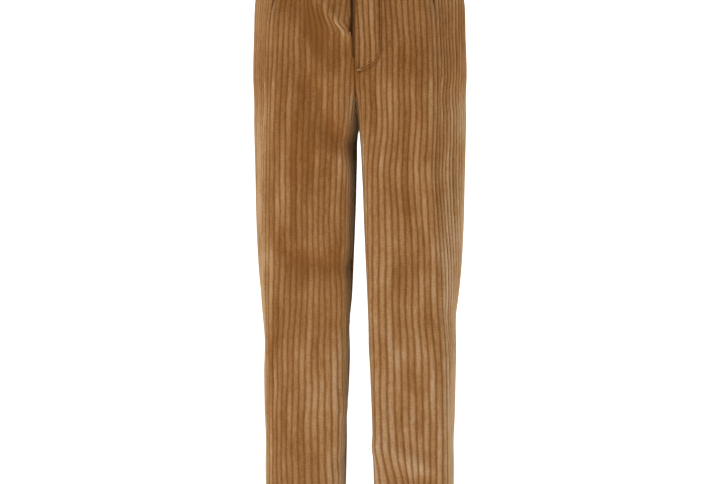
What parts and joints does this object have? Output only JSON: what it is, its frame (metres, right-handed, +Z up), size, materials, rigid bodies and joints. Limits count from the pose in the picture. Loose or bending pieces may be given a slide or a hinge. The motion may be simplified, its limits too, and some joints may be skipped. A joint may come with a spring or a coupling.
{
  "type": "relaxed fit corduroy jeans",
  "caption": "Relaxed fit jeans in wide-wale corduroy, hollow and standing in their worn form, with a buttoned waistband, fly and slant pockets.",
  "frame": {"origin": "middle of the waist, halfway up the waistband, where the wearer's waist holds the jeans", "axes": "+Z up the body, -Y to the wearer's front, +X to the wearer's left"},
  "size_m": [0.3495, 0.2719, 1.06],
  "materials": {
    "corduroy": "matte",
    "button": "satin"
  },
  "bodies": {
    "root": {"front_left": "corduroy", "front_right": "corduroy", "back_left": "corduroy", "back_right": "corduroy", "pocket_facing_left": "corduroy", "pocket_facing_right": "corduroy", "fly_shield": "corduroy", "waistband": "corduroy", "waist_button": "button"}
  },
  "joints": []
}
